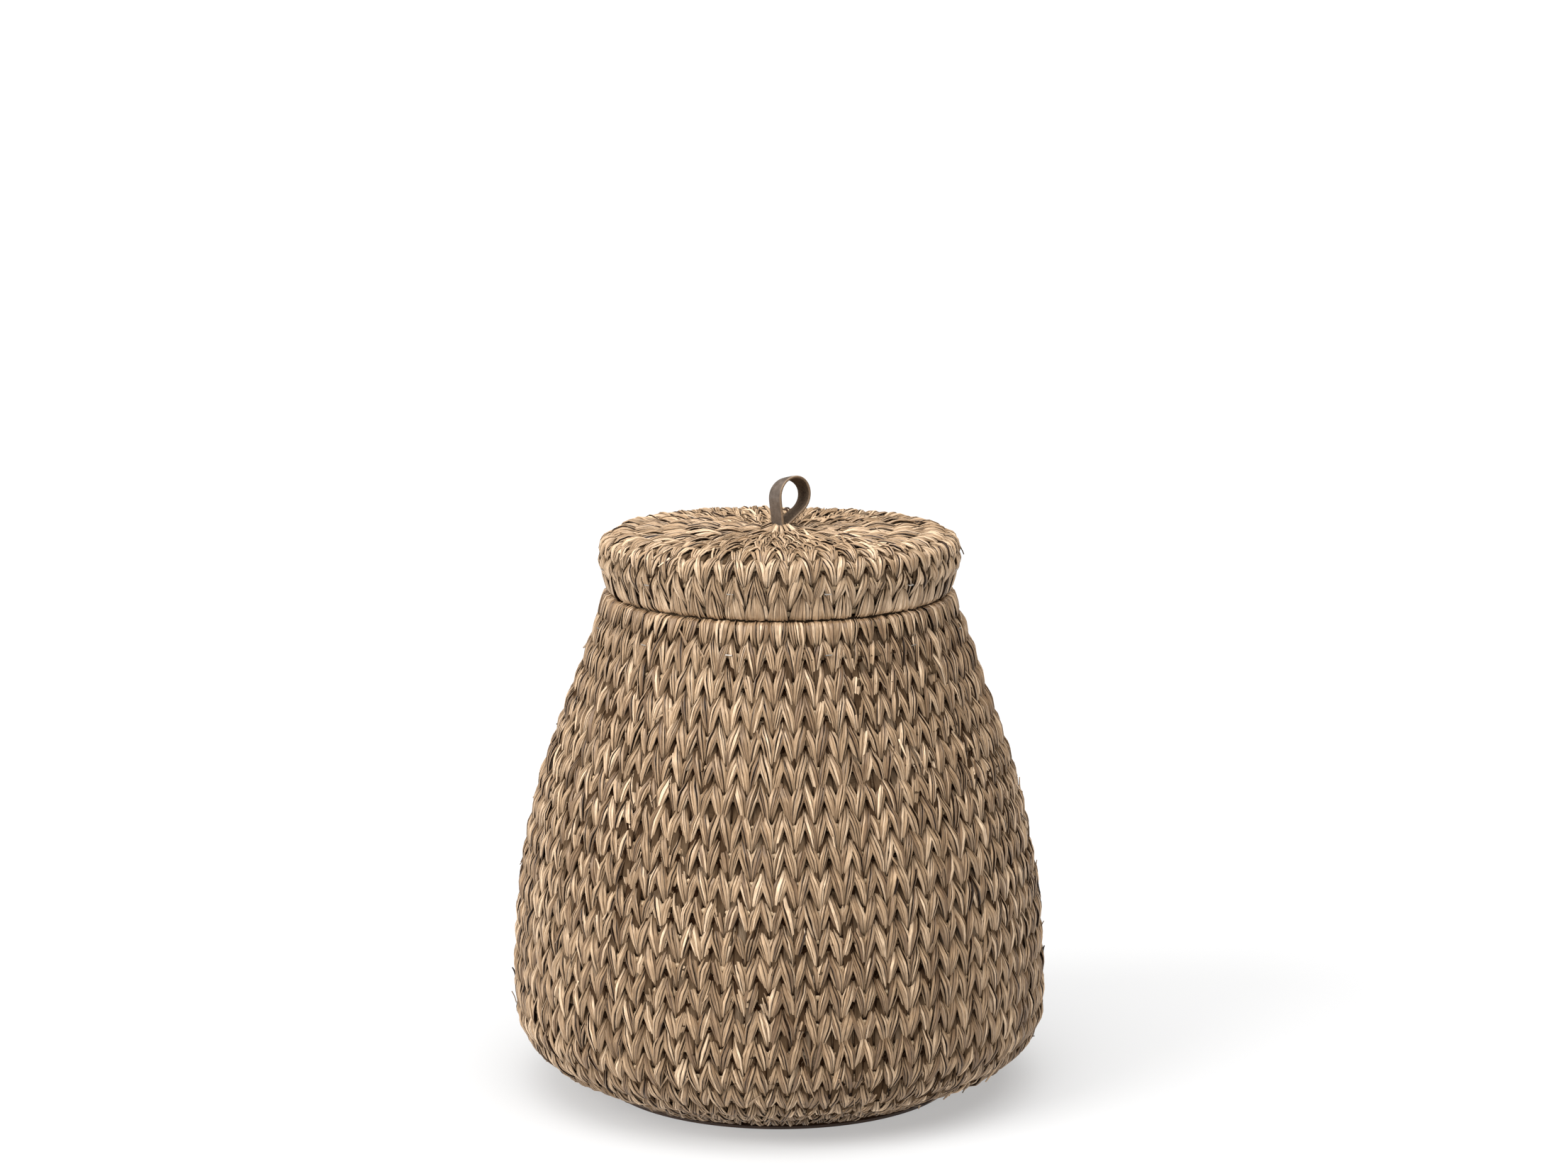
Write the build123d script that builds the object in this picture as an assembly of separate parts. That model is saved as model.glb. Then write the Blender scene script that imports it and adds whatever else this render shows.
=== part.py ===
from build123d import *
import os
from math import acos, asin, atan2, cos, degrees, hypot, pi, radians, sin, sqrt

# Lidded seagrass storage basket, in millimetres, +Z up, origin under the centre of the foot ring.
#
# The basket and its lid are rings of twined seagrass, called courses.  Each course is worked round
# its own round cane hoop.  A leather loop in the middle of the lid lifts it off.  The loop is pinched
# at the lid, where it bends from side to side.

# Overall form of the basket: every radius and height is of the outside of the weave.
belly_radius = 250.0
belly_height = 95.0
rim_radius = 161.5
rim_height = 470.5
foot_radius = 163.0
foot_curve = 15.0
underside_angle = radians(26.0)
corner_radius = 66.0
belly_sweep = 2.0  # radius of the belly's curve, as a share of the height from belly to rim
belly_lean = 1.108  # slope above the belly, as a share of the slope from belly to rim
shoulder_sweep = 1.09  # radius of the shoulder's curve, as a share of that height

# Weave and hoops.
hoop_radius = 3.0
hoop_clearance = 0.1
cover = 3.5
groove = 2.5
wall_courses = 21
base_courses = 6
base_centre_radius = 10.0
foot_reed_width = 6.0
foot_reed_height = 5.0

# Lid.
lid_overhang = 7.5
lid_edge_inset = 3.0
lid_height = 59.0
lid_shoulder = 24.0
lid_top_courses = 6
lid_skirt_courses = 3
skirt_pitch = 22.5
seat_clearance = 0.3

# Collar inside the lid, which drops into the neck of the basket.
collar_thickness = 3.0
collar_drop = 16.0
collar_rise = 14.0
collar_clearance = 0.1
neck_clearance = 1.5

# Leather pull: a strap folded into a teardrop, with both tails going down through the lid.
strap_width = 19.0
strap_thickness = 2.4
loop_radius = 17.0
loop_reach = 29.0
loop_lean = radians(25.0)
pull_turn = 35.0
pinch_radius = 2.6
pinch_clearance = 0.4
tail_gap = 0.1
tail_length = 40.0
eye_clearance = 0.8
toggle_radius = 3.0
toggle_length = 42.0
toggle_fit = 0.05
rivet_radius = 1.5
rivet_fit = 0.05
rivet_head_radius = 4.0
rivet_head_height = 1.2
rivet_drop = 10.0
washer_height = 0.8

# Staples that pin the weave to a hoop.
staple_count = 12
staple_wire = 0.8
staple_crown = 6.0
staple_bite = 2.6

# Worked out from the values above.
depth = 2 * (hoop_radius + cover)  # thickness of the weave
edge_round = depth / 2  # radius of the rolled edge at a rim
lid_radius = rim_radius + lid_overhang
lid_edge_radius = rim_radius - lid_edge_inset
lid_eye_radius = hypot(strap_width / 2, strap_thickness + tail_gap / 2) + eye_clearance


class Profile:
    """A line in the RZ half plane, followed by its length from the middle of the object outwards.

    It is a chain of straight and round stretches, each tangent to the last.  A positive turn is
    anticlockwise.  The inside of the weave lies to the side given by `inward`.
    """

    def __init__(self, z, inward):
        self.start = (0.0, z, 0.0)
        self.inward = inward
        self.pieces = []
        self.length = 0.0

    def run(self, length):
        self.pieces.append((length, 0.0))
        self.length += length

    def turn(self, radius, angle):
        self.pieces.append((radius * abs(angle), angle / (radius * abs(angle))))
        self.length += radius * abs(angle)

    def turn_to(self, radius, side, r, z):
        """Turn left for side 1, right for side -1, then run straight to the point r, z."""
        r0, z0, heading = self.state(self.length)
        across = r - r0 + side * radius * sin(heading)
        up = z - z0 - side * radius * cos(heading)
        away = hypot(across, up)
        leaving = atan2(up, across) + side * (pi / 2 - acos(radius / away))
        self.turn(radius, side * ((side * (leaving - heading)) % (2 * pi)))
        self.run(sqrt(away**2 - radius**2))

    def state(self, s):
        """Radius, height and heading at length s."""
        r, z, heading = self.start
        for length, bend in self.pieces:
            step = min(s, length)
            if bend:
                after = heading + bend * step
                r += (sin(after) - sin(heading)) / bend
                z -= (cos(after) - cos(heading)) / bend
                heading = after
            else:
                r += step * cos(heading)
                z += step * sin(heading)
            s -= step
            if s <= 0:
                break
        return r, z, heading

    def at(self, s, into=0.0):
        """The point at length s, and that far into the weave."""
        r, z, heading = self.state(s)
        return Vector(r - self.inward * into * sin(heading), 0, z + self.inward * into * cos(heading))


def basket_profile():
    """From the middle of the base, under the foot, up the belly and the neck to the rim."""
    line = Profile(foot_reed_height - groove, inward=1)
    line.run(foot_radius)
    line.turn(foot_curve, underside_angle)
    across = belly_radius - line.state(line.length)[0] - corner_radius * (1 - sin(underside_angle))
    line.run(across / cos(underside_angle))
    line.turn(corner_radius, pi / 2 - underside_angle)
    line.run(belly_height - line.state(line.length)[1])
    rise = rim_height - belly_height
    line.turn(belly_sweep * rise, belly_lean * atan2(belly_radius - rim_radius, rise))
    line.turn_to(shoulder_sweep * rise, 1, rim_radius, rim_height)
    return line


def lid_profile(top):
    """From the middle of the lid's top, over its shoulder and in towards its lower edge."""
    line = Profile(top, inward=-1)
    line.run(lid_radius - lid_shoulder)
    line.turn_to(lid_shoulder, -1, lid_edge_radius, top - lid_height)
    return line


def ring(edges, hole=None):
    """The solid swept round Z by a closed section in the XZ plane, less a round channel in it."""
    face = Face(Wire(edges))
    if hole:
        face = face.make_holes([hole])
    return revolve(face, Axis.Z)


def hoop_place(line, s):
    return line.at(s, depth / 2)


def hoop(line, s):
    """A cane hoop in the middle of the weave."""
    centre = hoop_place(line, s)
    return revolve(Plane(centre, x_dir=(1, 0, 0), z_dir=(0, -1, 0)) * Circle(hoop_radius), Axis.Z)


def channel(line, s):
    """The round space that a course leaves for its hoop."""
    plane = Plane(hoop_place(line, s), x_dir=(1, 0, 0), z_dir=(0, -1, 0))
    return Wire(Edge.make_circle(hoop_radius + hoop_clearance, plane))


def course(line, low, high):
    """One course between two lengths of the profile, swelling in the middle on both faces."""
    middle = (low + high) / 2
    swell = depth - groove
    return ring(
        [
            Edge.make_three_point_arc(line.at(low, groove), line.at(middle), line.at(high, groove)),
            Edge.make_line(line.at(high, groove), line.at(high, swell)),
            Edge.make_three_point_arc(line.at(high, swell), line.at(middle, depth), line.at(low, swell)),
            Edge.make_line(line.at(low, swell), line.at(low, groove)),
        ],
        channel(line, middle),
    )


def edge_course(line, low, middle):
    """The last course, rolled round its hoop at the edge of the basket or the lid."""
    end = middle + edge_round
    quarter = middle - (middle - low) / 2
    swell = depth - groove
    return ring(
        [
            Edge.make_three_point_arc(line.at(low, groove), line.at(quarter, groove / 4), line.at(middle)),
            Edge.make_three_point_arc(line.at(middle), line.at(end, depth / 2), line.at(middle, depth)),
            Edge.make_three_point_arc(
                line.at(middle, depth), line.at(quarter, depth - groove / 4), line.at(low, swell)
            ),
            Edge.make_line(line.at(low, swell), line.at(low, groove)),
        ],
        channel(line, middle),
    )


def courses(line, bounds):
    """Solids and hoop places of the courses that meet at these lengths, the last one rolled."""
    places = [(low + high) / 2 for low, high in zip(bounds, bounds[1:])]
    solids = [course(line, low, high) for low, high in zip(bounds, bounds[1:])]
    places.append(line.length - edge_round)
    solids.append(edge_course(line, bounds[-1], places[-1]))
    return solids, places


def staple_ring(crown, inward, leg):
    """A ring of wire staples at a point of the XZ plane, each with its crown along the ring."""
    half = staple_crown / 2
    inner = half - staple_wire
    outline = [(-half, 0), (half, 0), (half, leg), (inner, leg), (inner, staple_wire)]
    outline += [(-inner, staple_wire), (-inner, leg), (-half, leg)]
    plane = Plane(crown, x_dir=(0, 1, 0), z_dir=(inward.Z, 0, -inward.X))
    staple = extrude(plane * make_face(Polyline(*outline, close=True)), staple_wire / 2, both=True)
    step = 360 / staple_count
    return Compound(children=[Rot(0, 0, step * (k + 0.5)) * staple for k in range(staple_count)])


def surface_staples(line, s):
    """Staples in the outside of the weave, half sunk in it, which stop short of the hoop."""
    crown = line.at(s, -staple_wire / 2)
    return staple_ring(crown, line.at(s, 1) - line.at(s, 0), staple_wire / 2 + staple_bite)


def foot_reed():
    """A split reed under the edge of the base, with its ridge in the groove between two courses."""
    half = foot_reed_width / 2
    shoulder = foot_reed_height / 2
    outline = [(-half, 0), (half, 0), (half, shoulder), (0, foot_reed_height), (-half, shoulder)]
    points = [(foot_radius + across, 0, up) for across, up in outline]
    return revolve(make_face(Polyline(*points, close=True)), Axis.Z)


def base_middle(line):
    """The knot of seagrass from which the base is started."""
    edge = base_centre_radius
    return ring(
        [
            Edge.make_line(line.at(0, 0), line.at(edge, groove)),
            Edge.make_line(line.at(edge, groove), line.at(edge, depth - groove)),
            Edge.make_line(line.at(edge, depth - groove), line.at(0, depth)),
            Edge.make_line(line.at(0, depth), line.at(0, 0)),
        ]
    )


def teardrop(radius, reach):
    """A round head with two straight sides that meet at a point, in XZ, its axis along +Z.

    reach is the distance from that point to the middle of the head.
    """
    half = asin(radius / reach)
    side = reach * cos(half)
    left = Vector(-side * sin(half), 0, side * cos(half))
    right = Vector(side * sin(half), 0, side * cos(half))
    edges = [
        Edge.make_line((0, 0, 0), left),
        Edge.make_three_point_arc(left, (0, 0, reach + radius), right),
        Edge.make_line(right, (0, 0, 0)),
    ]
    return Face(Wire(edges))


def pull_loop(pivot):
    """The part of the strap that stands above the lid, leaning to one side at rest."""
    half_angle = asin(loop_radius / loop_reach)
    shift = strap_thickness / 2 / sin(half_angle)
    outer = Pos(0, 0, -shift) * teardrop(loop_radius + strap_thickness / 2, loop_reach + shift)
    inner = Pos(0, 0, shift) * teardrop(loop_radius - strap_thickness / 2, loop_reach - shift)
    band = extrude(outer, strap_width / 2, dir=(0, 1, 0), both=True)
    band -= extrude(inner, strap_width, dir=(0, 1, 0), both=True)
    band += Rot(90, 0, 0) * Cylinder(pinch_radius, strap_width)
    return Pos(0, 0, pivot) * Rot(0, degrees(loop_lean), 0) * band


def pull_tails(top, toggle_z, rivet_z):
    """The two ends of the strap, side by side through the lid's eye."""
    made = []
    for side in (-1, 1):
        tail = Pos(side * (strap_thickness + tail_gap) / 2, 0, top - tail_length / 2) * Box(
            strap_thickness, strap_width, tail_length
        )
        tail -= Pos(0, 0, toggle_z) * Rot(0, 90, 0) * Cylinder(toggle_radius + toggle_fit, toggle_length)
        tail -= Pos(0, 0, rivet_z) * Rot(0, 90, 0) * Cylinder(rivet_radius + rivet_fit, toggle_length)
        made.append(tail)
    return Compound(children=made)


def pull_rivet(z):
    """A rivet through both tails, with its head on one side and its shank set on the other."""
    half = strap_thickness + tail_gap / 2
    shank_end = half + washer_height
    shank = Pos((shank_end - half) / 2, 0, z) * Rot(0, 90, 0) * Cylinder(rivet_radius, half + shank_end)
    head = Pos(-half - rivet_head_height / 2, 0, z) * Rot(0, 90, 0) * Cylinder(
        rivet_head_radius, rivet_head_height
    )
    set_end = Pos(shank_end + rivet_head_height / 4, 0, z) * Rot(0, 90, 0) * Cylinder(
        rivet_radius * 1.5, rivet_head_height / 2
    )
    return shank + head + set_end


def pull_washer(z):
    """The washer under the rivet's set end."""
    half = strap_thickness + tail_gap / 2
    plate = Cylinder(rivet_head_radius, washer_height) - Cylinder(rivet_radius + rivet_fit, 2 * washer_height)
    return Pos(half + washer_height / 2, 0, z) * Rot(0, 90, 0) * plate


def lid_collar(outer, edge_z):
    """A bent splint that stands inside the lid and drops into the neck."""
    height = collar_drop + collar_rise
    band = Cylinder(outer, height) - Cylinder(outer - collar_thickness, 2 * height)
    return Pos(0, 0, edge_z - collar_drop + height / 2) * band


def collar_staples(outer, skirt, z):
    """Staples from inside the lid, through the collar and into the rolled edge of its skirt."""
    crown = Vector(outer - collar_thickness - staple_wire / 2, 0, z)
    leg = staple_wire / 2 + collar_thickness + (skirt - outer) + staple_bite
    return staple_ring(crown, Vector(1, 0, 0), leg)


def save(name, shape):
    export_step(shape, f"parts/{name}.step")


def save_all(name, solids):
    for k, solid in enumerate(solids):
        save(f"{name}_{k + 1:02d}", solid)


def build_base(line):
    pitch = (foot_radius - base_centre_radius) / base_courses
    bounds = [base_centre_radius + pitch * k for k in range(base_courses + 1)]
    save("base_centre", base_middle(line))
    save_all("base_course", [course(line, low, high) for low, high in zip(bounds, bounds[1:])])
    save("base_hoops", Compound(children=[hoop(line, low + pitch / 2) for low in bounds[:-1]]))
    save("foot_ring", foot_reed())


def build_wall(line):
    """The wall is worked from the foot to the rim, and its courses are numbered upwards."""
    pitch = (line.length - edge_round - foot_radius) / (wall_courses - 0.5)
    solids, places = courses(line, [foot_radius + pitch * k for k in range(wall_courses)])
    pins = surface_staples(line, places[-2])
    solids[-2] -= pins
    save_all("wall_course", solids)
    save("wall_hoops", Compound(children=[hoop(line, place) for place in places]))
    save("wall_staples", pins)


def build_lid(line, collar_radius):
    """The lid is worked from its eye to its edge, and its courses are numbered outwards."""
    skirt = line.length - edge_round - skirt_pitch * (lid_skirt_courses - 0.5)
    top_pitch = (skirt - lid_eye_radius) / lid_top_courses
    bounds = [lid_eye_radius + top_pitch * k for k in range(lid_top_courses)]
    bounds += [skirt + skirt_pitch * k for k in range(lid_skirt_courses)]
    solids, places = courses(line, bounds)
    edge = hoop_place(line, places[-1])
    pins = surface_staples(line, places[-2])
    inner_pins = collar_staples(collar_radius, edge.X - edge_round, edge.Z)
    solids[-2] -= pins
    solids[-1] -= inner_pins
    save_all("lid_course", solids)
    save("lid_hoops", Compound(children=[hoop(line, place) for place in places]))
    save("lid_staples", pins)
    save("lid_collar", lid_collar(collar_radius, edge.Z - edge_round) - inner_pins)
    save("collar_staples", inner_pins)


def build_pull(top):
    """The strap's loop bends at the pinch, just above the top of the lid.

    Each piece is made with the strap's width along Y, then turned about Z with the whole pull.
    """
    turn = Rot(0, 0, pull_turn)
    pivot = top + pinch_radius
    toggle_z = top - depth - toggle_radius
    rivet_z = toggle_z - rivet_drop
    save("pull_loop", turn * pull_loop(pivot))
    save("pull_tails", turn * pull_tails(top - pinch_clearance, toggle_z, rivet_z))
    toggle = Pos(0, 0, toggle_z) * Rot(0, 90, 0) * Cylinder(toggle_radius, toggle_length)
    save("pull_toggle", turn * toggle)
    save("pull_rivet", turn * pull_rivet(rivet_z))
    save("pull_washer", turn * pull_washer(rivet_z))
    print("loop pivot at z", round(pivot, 3))


os.makedirs("parts", exist_ok=True)
wall = basket_profile()
build_base(wall)
build_wall(wall)

rim = hoop_place(wall, wall.length - edge_round)
level = lid_profile(0)
level_edge = hoop_place(level, level.length - edge_round)
lid_top = rim.Z + edge_round + seat_clearance - (level_edge.Z - edge_round)
lid = lid_profile(lid_top)
collar_radius = min(level_edge.X - edge_round - collar_clearance, rim.X - edge_round - neck_clearance)
build_lid(lid, collar_radius)
build_pull(lid_top)
print("rim top", round(rim.Z + edge_round, 2), "neck", round(rim.X - edge_round, 2))
print("lid top", round(lid_top, 2), "lid edge", round(rim.Z + edge_round + seat_clearance, 2))
print("collar", round(collar_radius, 2), "skirt inside", round(level_edge.X - edge_round, 2))
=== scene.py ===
# %% [markdown]
# A lidded seagrass basket.  The real one is hand twined: folded leaves are worked in rows of V
# shaped stitches round hoops of cane, and a leather strap lifts the lid.  The CAD model holds the
# sizes, the bodies and the joints.  Here every row is made again, leaf by leaf, around that frame.

# %% Load the frame
import math

import bpy
import numpy as np
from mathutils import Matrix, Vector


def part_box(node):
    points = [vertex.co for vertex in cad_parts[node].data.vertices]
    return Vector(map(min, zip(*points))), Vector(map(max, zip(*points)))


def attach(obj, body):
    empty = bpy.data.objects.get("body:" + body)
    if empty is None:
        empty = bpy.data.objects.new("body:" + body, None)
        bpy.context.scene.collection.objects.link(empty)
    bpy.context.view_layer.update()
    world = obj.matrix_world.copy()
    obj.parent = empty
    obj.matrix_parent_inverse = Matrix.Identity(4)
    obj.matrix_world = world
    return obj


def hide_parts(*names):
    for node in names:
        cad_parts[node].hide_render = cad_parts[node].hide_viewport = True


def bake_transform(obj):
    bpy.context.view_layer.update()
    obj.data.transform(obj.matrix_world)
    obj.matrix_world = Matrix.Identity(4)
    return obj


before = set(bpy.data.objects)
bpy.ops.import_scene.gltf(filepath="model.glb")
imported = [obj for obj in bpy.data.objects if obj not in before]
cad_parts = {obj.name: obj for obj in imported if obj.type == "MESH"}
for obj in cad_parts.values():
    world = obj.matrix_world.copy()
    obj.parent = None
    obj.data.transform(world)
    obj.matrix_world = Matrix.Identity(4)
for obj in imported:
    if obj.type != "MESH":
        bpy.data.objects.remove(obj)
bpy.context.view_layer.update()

# %% [markdown]
# The camera looks slightly down on the basket from far away with a long lens, as a catalogue does,
# so that the sides hardly converge.

# %% Camera
CAMERA_PLACE = (0.0046, -3.758, 1.192)
CAMERA_DOWN = 0.19
CAMERA_LENS = 94.75

camera = bpy.data.objects.new("camera", bpy.data.cameras.new("camera"))
camera.location = CAMERA_PLACE
camera.rotation_euler = (math.pi / 2 - CAMERA_DOWN, 0, 0)
camera.data.lens = CAMERA_LENS
camera.data.sensor_width = 36
camera.data.clip_end = 50
bpy.context.scene.collection.objects.link(camera)
bpy.context.scene.camera = camera
print("camera at", CAMERA_PLACE, "lens", CAMERA_LENS, "mm")

# %% [markdown]
# The basket stands on a pale floor, under a broad soft light from above and in front.  A second,
# smaller one from the left picks out the ridges of the weave, and pale surroundings fill the
# shadows.  Suns light the whole floor evenly, and a wide angle makes a sun as soft as a soft box.
# The floor glows a little, as a lit white sweep does, so that its far end stays white.

# %% Floor and light
FLOOR_SIZE = 400.0
FLOOR_GREY, FLOOR_GLOW = 0.35, 0.42
KEY_WAY, KEY_STRENGTH, KEY_ANGLE = (0.79, 0.52, -0.60), 2.4, 36
TOP_WAY, TOP_STRENGTH, TOP_ANGLE = (0.00, 0.22, -1.0), 4.2, 70
ROOM_STRENGTH = 0.18


def plain_material(name, colour, roughness):
    """A material whose own shader socket holds the colour."""
    material = bpy.data.materials.new(name)
    material.use_nodes = True
    shader = material.node_tree.nodes["Principled BSDF"]
    shader.inputs["Base Color"].default_value = (*colour, 1)
    shader.inputs["Roughness"].default_value = roughness
    return material


half = FLOOR_SIZE / 2
corners = [(-half, -half, 0), (half, -half, 0), (half, half, 0), (-half, half, 0)]
floor_mesh = bpy.data.meshes.new("floor")
floor_mesh.from_pydata(corners, [], [(0, 1, 2, 3)])
floor_paint = plain_material("floor", (FLOOR_GREY, FLOOR_GREY, FLOOR_GREY), 0.9)
floor_shader = floor_paint.node_tree.nodes["Principled BSDF"]
floor_shader.inputs["Emission Color"].default_value = (1, 1, 1, 1)
floor_shader.inputs["Emission Strength"].default_value = FLOOR_GLOW
floor_mesh.materials.append(floor_paint)
floor = bpy.data.objects.new("floor", floor_mesh)
bpy.context.scene.collection.objects.link(floor)


def soft_sun(name, way, strength, angle):
    """A sun shining along a direction, as wide as an angle in degrees."""
    data = bpy.data.lights.new(name, "SUN")
    data.energy = strength
    data.angle = math.radians(angle)
    lamp = bpy.data.objects.new(name, data)
    flat = math.hypot(way[0], way[1])
    lamp.rotation_euler = (math.atan2(flat, -way[2]), 0, math.atan2(way[1], way[0]) - math.pi / 2)
    bpy.context.scene.collection.objects.link(lamp)


soft_sun("key", KEY_WAY, KEY_STRENGTH, KEY_ANGLE)
soft_sun("overhead", TOP_WAY, TOP_STRENGTH, TOP_ANGLE)
world = bpy.data.worlds.new("studio")
world.use_nodes = True
surroundings = world.node_tree.nodes["Background"]
surroundings.inputs["Color"].default_value = (1, 1, 1, 1)
surroundings.inputs["Strength"].default_value = ROOM_STRENGTH
bpy.context.scene.world = world
bpy.context.scene.view_settings.view_transform = "Standard"
print("floor", FLOOR_SIZE, "m, suns", KEY_STRENGTH, TOP_STRENGTH, "surroundings", ROOM_STRENGTH)

# %% [markdown]
# The outline of the basket is one line from the middle of its base to its rim, made of straight and
# round stretches that run smoothly into each other.  The same few sizes as in the CAD model give
# it.  Lengths along this line say where a row lies, so a row can be laid on any part of the basket
# with the same code.  All sizes up to the finished meshes are in millimetres.

# %% Outline of the basket and the lid
DEPTH = 13.0
EDGE_ROUND = DEPTH / 2


class Outline:
    """Straight and round stretches in the plane of radius and height, and which side is inside."""

    def __init__(self, height, inward):
        self.start = (0.0, height, 0.0)
        self.inward = inward
        self.stretches = []
        self.length = 0.0

    def add(self, length, bend=0.0):
        """A stretch of this length, straight or with one over its radius as its bend."""
        self.stretches.append((length, bend))
        self.length += length

    def turn(self, radius, angle):
        """A round stretch as long as radius times angle, to the left for a positive angle."""
        self.add(radius * abs(angle), math.copysign(1 / radius, angle))

    def turn_to(self, radius, side, to_r, to_z):
        """Turn left for side 1 or right for -1, then run straight to a point."""
        r, z, heading = (float(v) for v in self.walk(self.length))
        across = to_r - r + side * radius * math.sin(heading)
        up = to_z - z - side * radius * math.cos(heading)
        away = math.hypot(across, up)
        leaving = math.atan2(up, across) + side * (math.pi / 2 - math.acos(radius / away))
        self.turn(radius, side * ((side * (leaving - heading)) % (2 * math.pi)))
        self.add(math.sqrt(away**2 - radius**2))

    def walk(self, s):
        """Radius, height and heading after a length s: each bend adds its chord to the point."""
        s = np.asarray(s, float)
        r, z, heading = (np.full(s.shape, v) for v in self.start)
        for length, bend in self.stretches:
            step = np.clip(s, 0, length)
            after = heading + bend * step
            if bend:
                r = r + (np.sin(after) - np.sin(heading)) / bend
                z = z - (np.cos(after) - np.cos(heading)) / bend
            else:
                r = r + step * np.cos(heading)
                z = z + step * np.sin(heading)
            heading = after
            s = np.maximum(s - length, 0)
        return r, z, heading

    def point(self, s, out):
        """Radius, height and outward normal at length s, a distance out from the face.

        Past the last hoop the line goes half a turn round it, at EDGE_ROUND, and back inside.
        """
        last = self.length - EDGE_ROUND
        r, z, heading = self.walk(np.minimum(s, last))
        over = np.maximum(s - last, 0)
        angle = np.minimum(over / EDGE_ROUND, math.pi)
        back = over - angle * EDGE_ROUND
        n_r, n_z = self.inward * np.sin(heading), -self.inward * np.cos(heading)
        t_r, t_z = np.cos(heading), np.sin(heading)
        m_r = n_r * np.cos(angle) + t_r * np.sin(angle)
        m_z = n_z * np.cos(angle) + t_z * np.sin(angle)
        reach = EDGE_ROUND + out
        r = r - EDGE_ROUND * n_r + reach * m_r - t_r * back
        z = z - EDGE_ROUND * n_z + reach * m_z - t_z * back
        return r, z, m_r, m_z


FOOT_R, FOOT_Z, UNDERSIDE, CORNER = 163.0, 2.5, math.radians(26), 66.0
BELLY_R, BELLY_Z, RIM_R, RIM_Z = 250.0, 95.0, 161.5, 470.5
FOOT_BEND, BELLY_SWEEP, BELLY_LEAN, SHOULDER_SWEEP = 15.0, 2.0, 1.108, 1.09
RISE, SLOPE = RIM_Z - BELLY_Z, math.atan2(BELLY_R - RIM_R, RIM_Z - BELLY_Z)

body_line = Outline(FOOT_Z, 1)
body_line.add(FOOT_R)
body_line.turn(FOOT_BEND, UNDERSIDE)
under = BELLY_R - float(body_line.walk(body_line.length)[0]) - CORNER * (1 - math.sin(UNDERSIDE))
body_line.add(under / math.cos(UNDERSIDE))
body_line.turn(CORNER, math.pi / 2 - UNDERSIDE)
body_line.add(BELLY_Z - float(body_line.walk(body_line.length)[1]))
body_line.turn(BELLY_SWEEP * RISE, BELLY_LEAN * SLOPE)
body_line.turn_to(SHOULDER_SWEEP * RISE, 1, RIM_R, RIM_Z)

LID_R, LID_EDGE_R, LID_HEIGHT, LID_SHOULDER = RIM_R + 7.5, RIM_R - 3.0, 59.0, 24.0
lid_top = 1000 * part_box("lid_course_01")[1][2]
lid_line = Outline(lid_top, -1)
lid_line.add(LID_R - LID_SHOULDER)
lid_line.turn_to(LID_SHOULDER, -1, LID_EDGE_R, lid_top - LID_HEIGHT)
print("wall line", round(body_line.length), "mm, lid line", round(lid_line.length), "mm")

# %% [markdown]
# The number of stitches in a row grows with its girth.  A maker adds a stitch by splitting a wide
# one, and the neighbours then even out by hand.  So columns of stitches run down the basket, with a
# new column here and there, instead of every row being spaced anew.

# %% Columns of stitches
EVENING_ROUNDS, UNEVENNESS = 24, 0.03
rng = np.random.default_rng(41)


def split_widest(widths, count):
    """Split the widest stitches until there are enough, then let neighbours even out.

    Evening out moves a quarter of each difference between neighbours, so the total stays the same.
    """
    while len(widths) < count:
        wide = int(np.argmax(widths * rng.uniform(0.8, 1.2, len(widths))))
        widths = np.insert(widths, wide, widths[wide] / 2)
        widths[wide + 1] /= 2
        for _ in range(EVENING_ROUNDS):
            widths = widths + 0.25 * (np.roll(widths, 1) - 2 * widths + np.roll(widths, -1))
    return widths


def column_rows(counts):
    """For each row, the angles of its stitches' middles and their angular widths."""
    widths = np.full(counts[0], 2 * math.pi / counts[0])
    made = []
    for count in counts:
        widths = split_widest(widths, count)
        edges = np.concatenate([[0], np.cumsum(widths)]) - math.pi - widths[0] / 2
        made.append(((edges[1:] + edges[:-1]) / 2, widths * rng.normal(1, UNEVENNESS, count)))
    return made


# %% [markdown]
# A leaf is a long thin strip, folded or flattened, so it is drawn as a five sided rod: two edges, a
# flat top and a keel underneath.  One function carries that section along any number of paths at
# once.  A path is given by its length along the outline, its angle round the basket and its height
# above the face of the weave, which is how a maker thinks of it too.

# %% Leaves along paths
SECTION = np.array([(-1.0, 0.0), (-0.62, 1.0), (0.55, 1.0), (1.0, 0.0), (0.0, -0.8)])
# The edges and the keel of the section are painted dark: painted shade in the creases between
# neighbouring leaves.
SECTION_CREASE_SHADE = np.array([1.0, 0.0, 0.0, 1.0, 1.0])
SIDES = len(SECTION)


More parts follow.
